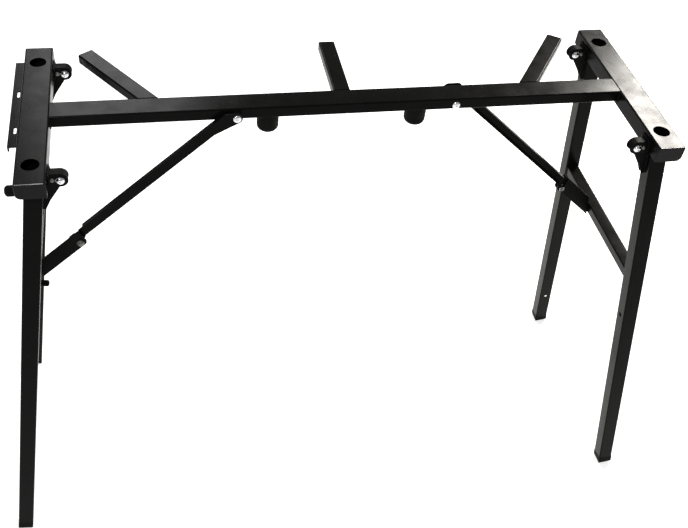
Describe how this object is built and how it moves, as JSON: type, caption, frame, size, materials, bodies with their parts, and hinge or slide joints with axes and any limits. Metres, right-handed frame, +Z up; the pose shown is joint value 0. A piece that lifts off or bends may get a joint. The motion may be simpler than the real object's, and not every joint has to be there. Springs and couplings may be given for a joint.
{
  "type": "folding keyboard stand",
  "caption": "Folding steel keyboard stand: end beams on a flat spine with rear support arms, splayed leg frames that fold under it, held open by diagonal channel braces.",
  "frame": {"origin": "on the floor, under the middle of the spine, midway between the four feet", "axes": "+X along the spine towards the right end, +Y towards the rear, where the support arms reach, +Z up"},
  "size_m": [1.1376, 0.4014, 0.765],
  "materials": {
    "frame_steel": "satin black powder coat",
    "bright_fasteners": "bright plated",
    "end_plugs": "moulded black plastic",
    "rubber_parts": "matt black rubber"
  },
  "bodies": {
    "top_frame": {"spine": "frame_steel", "end_beam_left": "frame_steel", "end_beam_right": "frame_steel", "centre_arm": "frame_steel", "left_arm": "frame_steel", "right_arm": "frame_steel", "side_rail_left": "frame_steel", "side_rail_right": "frame_steel", "hinge_clevis_left_front": "frame_steel", "hinge_clevis_left_rear": "frame_steel", "hinge_clevis_right_front": "frame_steel", "hinge_clevis_right_rear": "frame_steel", "hinge_bolt_left_front": "bright_fasteners", "hinge_bolt_left_rear": "bright_fasteners", "hinge_bolt_right_front": "bright_fasteners", "hinge_bolt_right_rear": "bright_fasteners", "hinge_nut_left_front": "bright_fasteners", "hinge_nut_left_rear": "bright_fasteners", "hinge_nut_right_front": "bright_fasteners", "hinge_nut_right_rear": "bright_fasteners", "beam_plug_left_front": "end_plugs", "beam_plug_left_rear": "end_plugs", "beam_plug_right_front": "end_plugs", "beam_plug_right_rear": "end_plugs", "centre_arm_plug": "end_plugs", "left_arm_plug": "end_plugs", "right_arm_plug": "end_plugs", "rubber_stop_left": "rubber_parts", "rubber_stop_right": "rubber_parts", "corner_button_left": "rubber_parts", "corner_button_right": "rubber_parts", "brace_bolt_left": "bright_fasteners", "brace_bolt_right": "bright_fasteners", "brace_cap_nut_left": "bright_fasteners", "brace_cap_nut_right": "bright_fasteners"},
    "leg_frame_left": {"leg_left_front": "frame_steel", "foot_left_front": "rubber_parts", "leg_hinge_left_front": "frame_steel", "leg_left_rear": "frame_steel", "foot_left_rear": "rubber_parts", "leg_hinge_left_rear": "frame_steel", "crossbar_left": "frame_steel", "clamp_bracket_left": "frame_steel", "clamp_bolt_left": "bright_fasteners", "clamp_nut_left": "bright_fasteners", "fold_peg_left": "rubber_parts"},
    "leg_frame_right": {"leg_right_front": "frame_steel", "foot_right_front": "rubber_parts", "leg_hinge_right_front": "frame_steel", "leg_right_rear": "frame_steel", "foot_right_rear": "rubber_parts", "leg_hinge_right_rear": "frame_steel", "crossbar_right": "frame_steel", "clamp_bracket_right": "frame_steel", "clamp_bolt_right": "bright_fasteners", "clamp_nut_right": "bright_fasteners", "fold_peg_right": "rubber_parts"},
    "brace_left": {"brace_left": "frame_steel"},
    "brace_right": {"brace_right": "frame_steel"}
  },
  "joints": [
    {"name": "leg_left_fold", "type": "hinge", "parent": "top_frame", "child": "leg_frame_left", "pos_m": [-0.403, 0, 0.745], "axis": [0, -1, 0], "range_deg": [0, 97.5]},
    {"name": "leg_right_fold", "type": "hinge", "parent": "top_frame", "child": "leg_frame_right", "pos_m": [0.403, 0, 0.745], "axis": [0, 1, 0], "range_deg": [0, 89.5]},
    {"name": "brace_left_swing", "type": "hinge", "parent": "top_frame", "child": "brace_left", "pos_m": [-0.162, 0, 0.754], "axis": [0, -1, 0], "range_deg": [0, 135]},
    {"name": "brace_right_swing", "type": "hinge", "parent": "top_frame", "child": "brace_right", "pos_m": [0.162, 0, 0.754], "axis": [0, 1, 0], "range_deg": [0, 135]}
  ],
  "couplings": [
    {"joint": "brace_left_swing", "follows": "leg_left_fold", "ratio": 1.3846},
    {"joint": "brace_right_swing", "follows": "leg_right_fold", "ratio": 1.5083}
  ]
}
